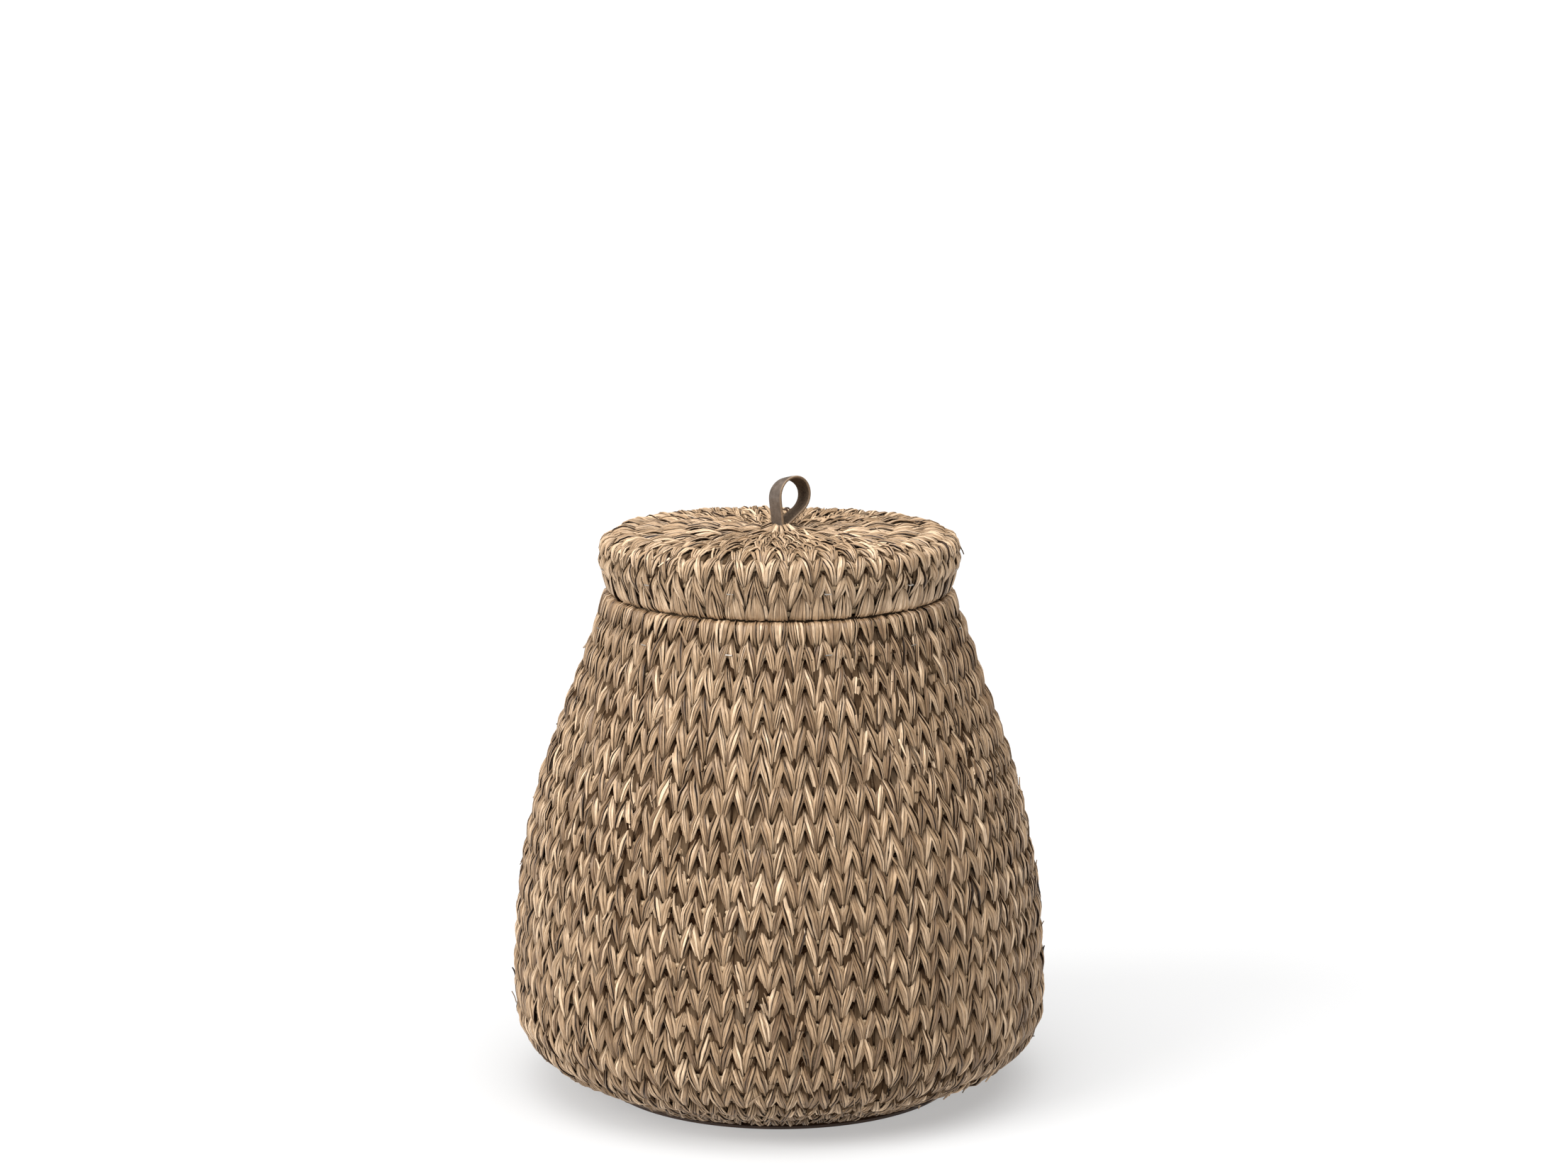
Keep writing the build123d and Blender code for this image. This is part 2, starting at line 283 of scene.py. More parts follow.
class Leaves:
    """Gathers leaves for one mesh: their points, and what the material wants to know about each."""

    def __init__(self, palest=0.0):
        self.palest = palest
        self.points, self.quads, self.caps = [], [], []
        self.fibre, self.leaf, self.deep, self.crease_shade = [], [], [], []
        self.count = 0

    def add(self, line, s, angle, out, half_width, thickness, bank, shade=0.0, move=None):
        """Carry the leaf's section along paths given as arrays of leaves by stations.

        The section's sides lie across the path and in the face of the weave, turned about the path
        by the bank angle.  Its points are place + width * across + thickness * up.
        """
        s, angle, out, half_width, thickness, bank = np.broadcast_arrays(
            s, angle, out, half_width, thickness, bank
        )
        r, z, n_r, n_z = line.point(s, out)
        around = np.stack([np.sin(angle), -np.cos(angle), np.zeros_like(angle)], -1)
        place = r[..., None] * around + z[..., None] * np.array([0, 0, 1.0])
        normal = n_r[..., None] * around + n_z[..., None] * np.array([0, 0, 1.0])
        if move is not None:
            place = move(place)
        along = np.gradient(place, axis=1)
        along /= np.linalg.norm(along, axis=-1, keepdims=True)
        across = np.cross(along, normal)
        across /= np.linalg.norm(across, axis=-1, keepdims=True)
        up = np.cross(across, along)
        cos, sin = np.cos(bank)[..., None], np.sin(bank)[..., None]
        side, top = cos * across + sin * up, cos * up - sin * across
        points = (
            place[:, :, None, :]
            + (half_width[..., None] * SECTION[:, 0])[..., None] * side[:, :, None, :]
            + (thickness[..., None] * SECTION[:, 1])[..., None] * top[:, :, None, :]
        )
        leaves, stations = s.shape
        first = self.count + np.arange(leaves)[:, None, None] * stations * SIDES
        ring = first + np.arange(stations - 1)[None, :, None] * SIDES
        k = np.arange(SIDES)[None, None, :]
        k_next = (k + 1) % SIDES
        quads = np.stack([ring + k, ring + k_next, ring + SIDES + k_next, ring + SIDES + k], -1)
        ends = first[:, :, 0] + np.arange(SIDES)[None, ::-1]
        tips = first[:, :, 0] + (stations - 1) * SIDES + np.arange(SIDES)[None, :]
        length = np.cumsum(np.linalg.norm(np.diff(place, axis=1, prepend=place[:, :1]), axis=-1), 1)
        start = rng.uniform(0, 500, (leaves, 1, 1))
        girth = np.cumsum(np.abs(np.roll(SECTION[:, 0], -1) - SECTION[:, 0])) * 0.5
        fibre = np.empty((leaves, stations, SIDES, 3))
        fibre[..., 0] = girth * np.mean(half_width, axis=1)[:, None, None] * 2
        fibre[..., 1] = length[:, :, None]
        fibre[..., 2] = start
        self.points.append(points.reshape(-1, 3))
        self.quads.append(quads.reshape(-1, 4))
        self.caps.append(np.concatenate([ends, tips]))
        self.fibre.append(fibre.reshape(-1, 3))
        self.leaf.append(np.repeat(rng.uniform(self.palest, 1, leaves), stations * SIDES))
        # The shade of each station is painted shade, kept on the mesh for the material.
        deep = np.clip(np.broadcast_to(shade, s.shape), 0, 1)
        self.deep.append(np.repeat(deep.reshape(-1), SIDES))
        self.crease_shade.append(np.tile(SECTION_CREASE_SHADE, leaves * stations))
        self.count += leaves * stations * SIDES

    def mesh(self, name):
        """One mesh in metres, smooth along each leaf and creased along its edges."""
        points = np.concatenate(self.points) / 1000
        quads, caps = np.concatenate(self.quads), np.concatenate(self.caps)
        corners = np.concatenate([quads.reshape(-1), caps.reshape(-1)])
        sizes = np.concatenate([np.full(len(quads), 4), np.full(len(caps), SIDES)])
        mesh = bpy.data.meshes.new(name)
        mesh.vertices.add(len(points))
        mesh.vertices.foreach_set("co", points.reshape(-1))
        mesh.loops.add(len(corners))
        mesh.loops.foreach_set("vertex_index", corners.astype(np.int32))
        mesh.polygons.add(len(sizes))
        starts = np.concatenate([[0], np.cumsum(sizes)[:-1]])
        mesh.polygons.foreach_set("loop_start", starts.astype(np.int32))
        mesh.polygons.foreach_set("use_smooth", np.ones(len(sizes), bool))
        mesh.update(calc_edges=True)
        pairs = np.empty(2 * len(mesh.edges), np.int32)
        mesh.edges.foreach_get("vertices", pairs)
        pairs = pairs.reshape(-1, 2) % SIDES
        creases = mesh.attributes.new("sharp_edge", "BOOLEAN", "EDGE")
        creases.data.foreach_set("value", pairs[:, 0] == pairs[:, 1])
        fibre = mesh.attributes.new("fibre", "FLOAT_VECTOR", "POINT")
        fibre.data.foreach_set("vector", np.concatenate(self.fibre).reshape(-1))
        for key, values in (("leaf", self.leaf), ("deep", self.deep), ("crease_shade", self.crease_shade)):
            attribute = mesh.attributes.new(key, "FLOAT", "POINT")
            attribute.data.foreach_set("value", np.concatenate(values))
        mesh.validate()
        return mesh


# %% [markdown]
# Seagrass dries to a range of straws, from pale beige to brown.  Fine fibres run along each leaf.
# The hollows between stitches are painted darker, as painted shade where the rows shade each other.
# The fibres come from a noise that is stretched along the leaf, read from the leaf's own attribute,
# so they follow each leaf wherever it turns.

# %% Seagrass
def node(tree, kind, **values):
    """Add a shader node and set what is given, a socket by its name or else a property."""
    made = tree.nodes.new(kind)
    for key, value in values.items():
        if key in made.inputs:
            made.inputs[key].default_value = value
        else:
            setattr(made, key, value)
    return made


def ramp(tree, source, stops):
    """A colour ramp over a value, with its stops as pairs of place and colour."""
    made = tree.nodes.new("ShaderNodeValToRGB")
    band = made.color_ramp
    while len(band.elements) < len(stops):
        band.elements.new(0.5)
    for element, (place, colour) in zip(band.elements, stops):
        element.position = place
        element.color = (*colour, 1)
    tree.links.new(source, made.inputs[0])
    return made.outputs[0]


def mixed(tree, kind, amount, a, b):
    """Two colours mixed, with the amount, the colours or both given as sockets or values."""
    made = tree.nodes.new("ShaderNodeMix")
    made.data_type = "RGBA"
    made.blend_type = kind
    for socket, value in ((made.inputs[0], amount), (made.inputs[6], a), (made.inputs[7], b)):
        if isinstance(value, bpy.types.NodeSocket):
            tree.links.new(value, socket)
        else:
            socket.default_value = value
    return made.outputs[2]


def seagrass_material(name, bleached, pale, middle, brown, shade_colour):
    """Leaves of four straws, with fibres, blotches, and painted shade in the hollows and along the
    creases.
    """
    material = bpy.data.materials.new(name)
    material.use_nodes = True
    tree = material.node_tree
    shader = tree.nodes["Principled BSDF"]
    fibre = node(tree, "ShaderNodeAttribute", attribute_name="fibre")
    leaf = node(tree, "ShaderNodeAttribute", attribute_name="leaf")
    deep = node(tree, "ShaderNodeAttribute", attribute_name="deep")
    crease_shade = node(tree, "ShaderNodeAttribute", attribute_name="crease_shade")
    fine = node(tree, "ShaderNodeMapping")
    fine.inputs["Scale"].default_value = (3.2, 0.10, 1)
    tree.links.new(fibre.outputs["Vector"], fine.inputs["Vector"])
    streak = node(tree, "ShaderNodeTexNoise", Scale=1.0, Detail=3.0, Roughness=0.65)
    tree.links.new(fine.outputs[0], streak.inputs["Vector"])
    broad = node(tree, "ShaderNodeMapping")
    broad.inputs["Scale"].default_value = (0.5, 0.07, 1)
    tree.links.new(fibre.outputs["Vector"], broad.inputs["Vector"])
    blotch = node(tree, "ShaderNodeTexNoise", Scale=1.0, Detail=2.0, Roughness=0.5)
    tree.links.new(broad.outputs[0], blotch.inputs["Vector"])
    straws = [(0.0, brown), (0.3, middle), (0.75, pale), (1.0, bleached)]
    straw = ramp(tree, leaf.outputs["Fac"], straws)
    patches = [(0.3, (0.72, 0.68, 0.62)), (0.62, (1.12, 1.1, 1.06))]
    worn = ramp(tree, blotch.outputs["Fac"], patches)
    fibres = [(0.36, (0.66, 0.60, 0.53)), (0.6, (1.08, 1.07, 1.05))]
    lines = ramp(tree, streak.outputs["Fac"], fibres)
    colour = mixed(tree, "MULTIPLY", 1.0, straw, worn)
    colour = mixed(tree, "MULTIPLY", 1.0, colour, lines)
    # Painted shade along the leaves' edges, where neighbouring leaves shade each other.
    edges = [(0.25, (1, 1, 1)), (0.9, (0.07, 0.043, 0.025))]
    edge = ramp(tree, crease_shade.outputs["Fac"], edges)
    colour = mixed(tree, "MULTIPLY", 1.0, colour, edge)
    # Painted shade: the colour moves towards the dark shade colour where the weave is shaded.
    colour = mixed(tree, "MIX", deep.outputs["Fac"], colour, (*shade_colour, 1))
    tree.links.new(colour, shader.inputs["Base Color"])
    relief = node(tree, "ShaderNodeBump", Strength=0.55, Distance=0.0004)
    tree.links.new(streak.outputs["Fac"], relief.inputs["Height"])
    tree.links.new(relief.outputs[0], shader.inputs["Normal"])
    shader.inputs["Roughness"].default_value = 0.45
    sheen = node(tree, "ShaderNodeMapRange")
    sheen.inputs["From Max"].default_value = 0.6
    sheen.inputs["To Min"].default_value = 0.5
    sheen.inputs["To Max"].default_value = 0.0
    tree.links.new(deep.outputs["Fac"], sheen.inputs["Value"])
    tree.links.new(sheen.outputs[0], shader.inputs["Specular IOR Level"])
    return material


seagrass = seagrass_material(
    "seagrass", bleached=(0.84, 0.65, 0.47), pale=(0.54, 0.385, 0.25), middle=(0.36, 0.245, 0.15),
    brown=(0.22, 0.138, 0.08), shade_colour=(0.014, 0.006, 0.003))
print("seagrass has", len(seagrass.node_tree.nodes), "nodes")

# %% [markdown]
# One stitch is a V of two bundles of leaves.  A bundle comes up from under the row above, bends
# sharply over the hoop, where it is widest and highest, and dives into the hollow at the V's tip.
# Along a leaf, a parameter t runs from -1 at the tip, through 0 at the hoop, to 1 at the top.

# %% Stitches
STATIONS = np.array([-1.0, -0.8, -0.45, -0.1, 0.1, 0.35, 0.65, 1.0])
INNER_STATIONS = np.array([-1.0, -0.5, 0.0, 0.5, 1.0])
TIP_REACH, TOP_REACH = 0.93, 0.80
TIP_AT, HOOP_AT, TOP_AT = 0.05, 0.25, 0.48
BUNDLE_HALF, NARROW_TIP, NARROW_TOP = 0.25, 0.62, 0.32
HOOP_SINK, BUNDLE_ROUND = 1.2, 1.6
TIP_SLOPE, TIP_DIVE, TOP_SLOPE, TOP_DIVE = 3.2, 2.8, 4.4, 2.4
WANDER, QUICK_WANDER, SWELL = 1.3, 0.7, 0.7


def bundle_lanes(bundles, lanes):
    """Where each leaf lies across its bundle, from -1 to 1, and its share of the width."""
    share = rng.uniform(0.6, 1.5, (bundles, lanes))
    share /= share.sum(1, keepdims=True)
    lane = 2 * np.cumsum(share, 1) - share - 1
    return lane[..., None], share[..., None]


def as_leaves(values, shape):
    """Values over bundles by lanes by stations, laid out as leaves by stations."""
    return np.broadcast_to(values, shape).reshape(shape[0] * shape[1], -1)


def stitch_row(leaves, line, s_hoop, pitch, tip_way, columns, face=0.0, inside=False, lanes=4,
               tip_reach=TIP_REACH, top_reach=TOP_REACH, wild=1.0, shade_amount=1.0, move=None):
    """A ring of V stitches over the hoop at length s_hoop, their tips pointing along tip_way.

    The row wanders a little to both sides and swells a little in and out, as slow sines round the
    basket.  Height falls from the hoop as a gentle slope, then dives as the fourth power of t at
    the tip and the third at the top.  The bundle narrows as a power of t towards both ends.

    wild makes the leaves less orderly, and the shade factor scales the painted shade in the
    hollows.
    """
    middles, widths = columns
    side = np.repeat([-1.0, 1.0], len(middles))
    middle, width = np.tile(middles, 2), np.tile(widths, 2)
    n = len(side)
    t = (INNER_STATIONS if inside else STATIONS)[None, None, :]
    below, above = np.maximum(-t, 0), np.maximum(t, 0)

    def jitter(spread):
        """A random value for each bundle."""
        return wild * rng.normal(0, spread, (n, 1, 1))

    lane, share = bundle_lanes(n, lanes)
    r_here = float(line.point(s_hoop, face)[0])
    pitch_mm = (width * r_here)[:, None, None]
    tip_len = pitch * (tip_reach + jitter(0.04))
    top_len = pitch * (top_reach + jitter(0.05))
    wander = WANDER * np.sin(2 * middle + s_hoop / 90)
    wander = wander + QUICK_WANDER * np.sin(5 * middle - s_hoop / 60)
    swell = SWELL * np.sin(3 * middle + s_hoop / 70)
    s = s_hoop + wander[:, None, None] + jitter(0.035 * pitch)
    s = s + tip_way * (below * tip_len - above * top_len)
    lean = HOOP_AT + jitter(0.012)
    u = lean - below * (lean - TIP_AT) + above * (TOP_AT - lean)
    u = u + 0.035 * np.sin(math.pi * above) - 0.02 * np.sin(math.pi * below)
    narrowing = 1 - NARROW_TIP * below**1.5 - NARROW_TOP * above**1.1
    half = BUNDLE_HALF * (1 + jitter(0.10)) * narrowing
    spread = half * pitch_mm
    x = side[:, None, None] * u * pitch_mm + lane * spread * (1 - 0.25 * below)
    x = x + wild * rng.normal(0, 0.16, (n, lanes, 1)) + rng.normal(0, 0.12, (n, lanes, t.shape[-1]))
    x = x + (wild - 1) * 1.3 * rng.normal(0, 1, (n, lanes, 1)) * t
    drop = TIP_SLOPE * below + TIP_DIVE * below**4 + TOP_SLOPE * above + TOP_DIVE * above**3
    bulge = BUNDLE_ROUND * lane**2 * (1 - 0.5 * below - 0.5 * above)
    height = swell[:, None, None] - HOOP_SINK - drop - bulge + jitter(0.45)
    height = height + wild * rng.normal(0, 0.48, (n, lanes, 1))
    s = np.broadcast_to(s + rng.normal(0, 0.5, (n, lanes, 1)), x.shape)
    out = face + (-height if inside else height)
    half_width = share * spread * rng.uniform(0.9, 1.2, (n, lanes, 1)) + 0.1
    thickness = (1.0 - 0.3 * np.abs(t)) * rng.uniform(0.7, 1.3, (n, lanes, 1))
    bank = -lane * 0.75 + wild * rng.normal(0, 0.38, (n, lanes, 1)) + rng.normal(0, 0.14, x.shape)
    if inside:
        bank = bank + math.pi
    angle = middle[:, None, None] + x / r_here
    # Painted shade: the top of each leaf under the row above, the outer leaves of each bundle and
    # the very tip are darkened.
    lane_shade = 0.75 * np.abs(lane) ** 3 * (0.35 + np.abs(t))
    shade = shade_amount * (0.80 * above**1.5 + lane_shade + 0.4 * below**6)
    parts = [as_leaves(v, x.shape) for v in (s, angle, out, half_width, thickness, bank, shade)]
    leaves.add(line, *parts, move)


def under_leaves(leaves, line, s_hoop, pitch, tip_way, columns, move=None):
    """Wide leaves behind a row, painted dark with painted shade, two to a stitch, which show where
    its neighbours part.
    """
    middles, widths = columns
    angle = np.concatenate([middles - 0.25 * widths, middles + 0.25 * widths])[:, None]
    angle = angle + rng.normal(0, 0.05, (len(angle), 1)) * np.tile(widths, 2)[:, None]
    along = np.linspace(-0.15, 1.0, 4)[None, :]
    r_here = float(line.point(s_hoop, 0)[0])
    half_width = 0.2 * np.tile(widths, 2)[:, None] * r_here
    out = -3.6 - 2.2 * along + rng.normal(0, 0.4, angle.shape)
    bank = rng.normal(0, 0.2, angle.shape)
    s = s_hoop - tip_way * along * pitch
    # These leaves carry strong painted shade, darkest towards the row above.
    leaves.add(line, s, angle, out, half_width, 0.8, bank, 0.75 + 0.2 * along, move)


# %% [markdown]
# At the rim, and at the lower edge of the lid, leaves are laid side by side over the last hoop, and
# are gathered to a point on each face.  These fans cover the edge completely.

# %% Fans over an edge
def fan_row(leaves, line, s_start, s_end, columns, shift=0.0, lanes=7, stations=11, move=None):
    """Leaves over the edge from a point on one face to a point on the other.

    With v from 0 to 1 along the leaf, the fan's half width is half a stitch times sin(pi v) ** 0.6.
    """
    middles, widths = columns
    n = len(middles)
    v = np.linspace(0, 1, stations)[None, None, :]
    lane, share = bundle_lanes(n, lanes)
    s = s_start + (s_end - s_start) * v + rng.normal(0, 0.8, (n, lanes, 1))
    last = line.length - EDGE_ROUND
    r_here = float(line.point(last, 0)[0])
    pitch_mm = (widths * r_here)[:, None, None]
    open_ = np.sin(math.pi * v) ** 0.6
    spread = 0.5 * pitch_mm * (0.08 + 0.90 * open_) * rng.uniform(0.85, 1.15, (n, 1, 1))
    x = shift * pitch_mm + lane * spread + rng.normal(0, 0.12, (n, lanes, stations))
    x = x + (rng.normal(0, 2.6, (n, lanes, 1)) + rng.normal(1.0, 2.2, (n, 1, 1))) * (v - 0.5)
    dive = 4.5 * (1 - open_) ** 2
    out = -0.8 - dive - 1.1 * lane**2 * (1 - 0.3 * open_) + rng.normal(0, 0.35, (n, lanes, 1))
    half_width = share * spread * rng.uniform(1.05, 1.35, (n, lanes, 1)) + 0.15
    thickness = 0.7 * rng.uniform(0.8, 1.2, (n, lanes, 1))
    bank = -lane * 0.4 + rng.normal(0, 0.32, (n, lanes, 1))
    angle = middles[:, None, None] + x / r_here
    # Painted shade: darker where each fan gathers to its points and at its outermost leaves.
    shade = 0.9 * (1 - open_) ** 1.6 + 0.35 * lane**6 * (1 - 0.7 * open_)
    parts = [as_leaves(v, x.shape) for v in (s, angle, out, half_width, thickness, bank, shade)]
    leaves.add(line, *parts, move)


# %% [markdown]
# Here and there a leaf has come loose.  Its end lifts off the face and drifts to one side.

# %% Stray leaf ends
def stray_leaves(leaves, line, s_hoop, count, move=None):
    """Loose ends near a row: along v from 0 to 1 they rise as v squared and drift sideways."""
    v = np.linspace(0, 1, 6)[None, :]
    angle = rng.uniform(-math.pi, math.pi, (count, 1))
    length = rng.uniform(9, 22, (count, 1))
    way = rng.choice([-1.0, 1.0], (count, 1))
    s = s_hoop + rng.uniform(-6, 6, (count, 1))
    s = s + way * length * v * rng.uniform(0.6, 1.0, (count, 1))
    drift = rng.normal(0, 0.35, (count, 1)) * length * v
    r_here = float(line.point(s_hoop, 0)[0])
    out = -1.4 + rng.uniform(1.5, 4.0, (count, 1)) * v**2
    half_width = rng.uniform(0.9, 1.9, (count, 1)) * (1 - 0.55 * v)
    bank = rng.normal(0, 0.7, (count, 1)) * (0.4 + v)
    leaves.add(line, s, angle + drift / r_here, out, half_width, 0.5, bank, 0.0, move)


# %% [markdown]
# Behind the stitches, a row is packed with the ends of its leaves, painted dark as painted shade
# for the inside of the weave.  A closed ring of that packing keeps light from coming through.

# %% Packing of a row
HOOP_GAP, PACK_HIGH, PACK_LOW = 3.5, -5.0, -8.0


def packing_ring(leaves, line, s_low, s_high, out_high=PACK_HIGH, out_low=PACK_LOW, move=None,
                 around=96):
    """A closed ring of rounded section between two lengths and two heights, added as one leaf.

    The leaf's path goes once round the basket, and its ends meet.
    """
    angle = np.linspace(-math.pi, math.pi, around + 1)[None, :]
    s = np.full(angle.shape, (s_low + s_high) / 2)
    out = np.full(angle.shape, (out_high + out_low) / 2)
    # The ring is painted dark: painted shade for the inside of the weave.
    leaves.add(line, s, angle, out, (s_high - s_low) / 2, (out_high - out_low) / 2, 0.0, 0.8, move)


# %% [markdown]
# The wall is now worked row by row.  Each row stands for one course of the CAD model.

# %% Wall
def finish_piece(leaves, name, body, *nodes):
    """Make the mesh, put it in the scene, and let it ride its body in place of the CAD nodes."""
    mesh = leaves.mesh(name)
    mesh.materials.append(seagrass)
    piece = bpy.data.objects.new(name, mesh)
    bpy.context.scene.collection.objects.link(piece)
    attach(piece, body)
    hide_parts(*nodes)
    return sum(len(faces) * (faces.shape[1] - 2) for faces in leaves.quads + leaves.caps)


WALL_ROWS = 21
TOP_STITCHES, BOTTOM_STITCHES = 62, 80
last = body_line.length - EDGE_ROUND
wall_pitch = (last - FOOT_R) / (WALL_ROWS - 0.5)
wall_hoops = [FOOT_R + wall_pitch * (k + 0.5) for k in range(WALL_ROWS)]
wall_counts = np.linspace(TOP_STITCHES, BOTTOM_STITCHES, WALL_ROWS).round().astype(int)
wall_columns = column_rows(list(wall_counts))[::-1]
triangles = 0
for k, s_hoop in enumerate(wall_hoops):
    row = Leaves()
    columns = wall_columns[k]
    if k == WALL_ROWS - 1:
        fan_row(row, body_line, last - 0.78 * wall_pitch, last + math.pi * EDGE_ROUND + 15, columns)
        packing_ring(row, body_line, s_hoop - 9, s_hoop - 4)
    else:
        stitch_row(row, body_line, s_hoop, wall_pitch, -1, columns)
        under_leaves(row, body_line, s_hoop, wall_pitch, -1, columns)
        stray_leaves(row, body_line, s_hoop, 9)
        stitch_row(row, body_line, s_hoop, wall_pitch, -1, columns,
                   face=-DEPTH, inside=True, lanes=2)
        packing_ring(row, body_line, s_hoop + HOOP_GAP, s_hoop + wall_pitch - HOOP_GAP)
    name = f"wall_course_{k + 1:02d}"
    triangles += finish_piece(row, f"seagrass_{name}", "basket", name)
print("wall rows", WALL_ROWS, "stitches", int(wall_counts.sum()), "triangles", triangles)

# %% [markdown]
# The base is worked from its middle outwards in the same stitch, and is seen only from below and
# through the open mouth.

# %% Base
BASE_ROWS, BASE_CENTRE = 6, 10.0
base_pitch = (FOOT_R - BASE_CENTRE) / BASE_ROWS
base_columns = column_rows([12, 20, 29, 38, 47, 56])
for k in range(BASE_ROWS):
    row = Leaves()
    s_hoop = BASE_CENTRE + base_pitch * (k + 0.5)
    reach = 0.42 if k == BASE_ROWS - 1 else TIP_REACH
    columns = base_columns[k]
    stitch_row(row, body_line, s_hoop, base_pitch, 1, columns, lanes=2, tip_reach=reach)
    stitch_row(row, body_line, s_hoop, base_pitch, 1, columns, face=-DEPTH, inside=True, lanes=2)
    pack_from = s_hoop - base_pitch + HOOP_GAP if k else 1.0
    packing_ring(row, body_line, pack_from, s_hoop - HOOP_GAP)
    name = f"base_course_{k + 1:02d}"
    triangles += finish_piece(row, f"seagrass_{name}", "basket", name)

# %% [markdown]
# The hole in the middle of the base is closed by a knot: leaves from all sides meet at a point on
# each face, round a core of packing.

# %% Knot in the base
KNOT_LEAVES, KNOT_TIP = 18, 1.2

centre = Leaves()
turns = np.linspace(0, 2 * math.pi, KNOT_LEAVES, endpoint=False)[:, None]
inward = np.linspace(BASE_CENTRE + 1.5, KNOT_TIP, 5)[None, :]
for face, turned in ((0.0, 0.0), (-DEPTH, math.pi)):
    sunk = (1.2 + 0.25 * (BASE_CENTRE - inward) / 2) * (1 if turned else -1)
    # A little painted shade lies on the knot's leaves.
    centre.add(body_line, inward, turns + rng.normal(0, 0.1, turns.shape), face + sunk,
               0.22 * inward + 0.4, 0.7, turned + rng.normal(0, 0.2, turns.shape), 0.1)
packing_ring(centre, body_line, 2.0, BASE_CENTRE - 0.5, -4.0, -9.0, around=24)
triangles += finish_piece(centre, "seagrass_base_centre", "basket", "base_centre")
print("with the base", triangles, "triangles")

# %% [markdown]
# The lid is worked from the eye for the strap outwards, over the shoulder and down the skirt.  On
# the real lid the top leans a little: the front stands higher than the back.

# %% Lid
LID_LEAN, LEAN_FROM, LEAN_OVER = math.tan(math.radians(1.7)), 10, 18
EYE_R, EYE_HALF_WIDTH, EYE_HALF_THICKNESS = 10.6, 10.3, 3.8
PULL_TURN = math.radians(35.0)
TOP_ROWS, SKIRT_ROWS, SKIRT_PITCH = 6, 3, 22.5


def lean(place):
    """Raise the front and lower the back, from nothing at the lid's edge to all at its top."""
    low = lid_top - LID_HEIGHT + LEAN_FROM
    share = np.clip((place[..., 2] - low) / (LID_HEIGHT - LEAN_OVER), 0, 1)
    place = place.copy()
    place[..., 2] -= LID_LEAN * place[..., 1] * share
    return place


def eye_tufts(leaves, count=46):
    """Leaf ends round the strap: with v from 0 at the strap to 1, each sinks as (1 - v) ** 1.3.

    The strap is a rectangle in plan.  Along a direction, the distance to its side is the smaller
    of its half width over the cosine and its half thickness over the sine, and the ends stop there.
    """
    angle = np.linspace(0, 2 * math.pi, count, endpoint=False) + rng.normal(0, 0.06, count)
    to_width = angle - PULL_TURN - math.pi
    reach = np.minimum(EYE_HALF_WIDTH / np.maximum(np.abs(np.cos(to_width)), 1e-3),
                       EYE_HALF_THICKNESS / np.maximum(np.abs(np.sin(to_width)), 1e-3))
    start = (np.minimum(reach, EYE_R + 0.2) + rng.uniform(0.3, 1.6, count))[:, None]
    v = np.array([0.0, 0.18, 0.5, 1.0])[None, :]
    stop = start + rng.uniform(11, 19, (count, 1))
    s = start + (stop - start) * v
    rise = rng.uniform(1.5, 5.0, (count, 1))
    out = rise * (1 - v) ** 1.3 - 0.6 - 3.2 * v**2
    sway = rng.normal(0, 0.10, (count, 1)) * v
    half = rng.uniform(1.3, 2.3, (count, 1)) * (0.8 + 0.4 * v)
    bank = rng.normal(0, 0.45, (count, 1))
    # The far end of each tuft carries painted shade, where it sinks into the row.
    leaves.add(lid_line, s, angle[:, None] + sway, out, half, 0.8, bank, 0.5 * v**3, lean)


lid_last = lid_line.length - EDGE_ROUND
skirt_from = lid_last - SKIRT_PITCH * (SKIRT_ROWS - 0.5)
top_pitch = (skirt_from - EYE_R) / TOP_ROWS
lid_hoops = [EYE_R + top_pitch * (k + 0.5) for k in range(TOP_ROWS)]
lid_hoops += [skirt_from + SKIRT_PITCH * (k + 0.5) for k in range(SKIRT_ROWS)]
lid_columns = column_rows([14, 22, 30, 38, 44, 48, 49, 49, 49])
# The lid's leaves are drawn from the paler straws only: painted light, for the brighter light the
# lid gets from above.
TOP_LIT_PALEST, SKIRT_LIT_PALEST = 0.42, 0.45
for k, s_hoop in enumerate(lid_hoops):
    row = Leaves(TOP_LIT_PALEST if k < TOP_ROWS else SKIRT_LIT_PALEST)
    columns = lid_columns[k]
    pitch = top_pitch if k < TOP_ROWS else SKIRT_PITCH
    if k == len(lid_hoops) - 1:
        fan_end = lid_last + math.pi * EDGE_ROUND + 10
        fan_row(row, lid_line, lid_last - 0.95 * pitch, fan_end, columns, shift=0.5, move=lean)
    else:
        # The top rows of the lid get a fifth of the painted shade in their hollows, which brightens
        # them as painted light.
        wild = 1.5 if k < TOP_ROWS - 1 else 1.2
        stitch_row(row, lid_line, s_hoop, pitch, 1, columns, wild=wild, move=lean,
                   shade_amount=0.2 if k < TOP_ROWS - 1 else 1.0,
                   top_reach=0.5 if k == 0 else TOP_REACH)
        if k:
            under_leaves(row, lid_line, s_hoop, pitch, 1, columns, move=lean)
            stray_leaves(row, lid_line, s_hoop, 5, move=lean)
        stitch_row(row, lid_line, s_hoop, pitch, 1, columns,
                   face=-DEPTH, inside=True, lanes=2, move=lean)
    if k == 0:
        eye_tufts(row)
    if k:
        packing_ring(row, lid_line, lid_hoops[k - 1] + HOOP_GAP, s_hoop - HOOP_GAP, move=lean)
    name = f"lid_course_{k + 1:02d}"
    triangles += finish_piece(row, f"seagrass_{name}", "lid", name)
print("lid rows", len(lid_hoops), "woven triangles so far", triangles)

# %% [markdown]
# Cane and wood are one kind of finish in four shades.  Their grain is a noise stretched along the
# girth, so that it shows as fine lines, and the same noise gives a faint relief.

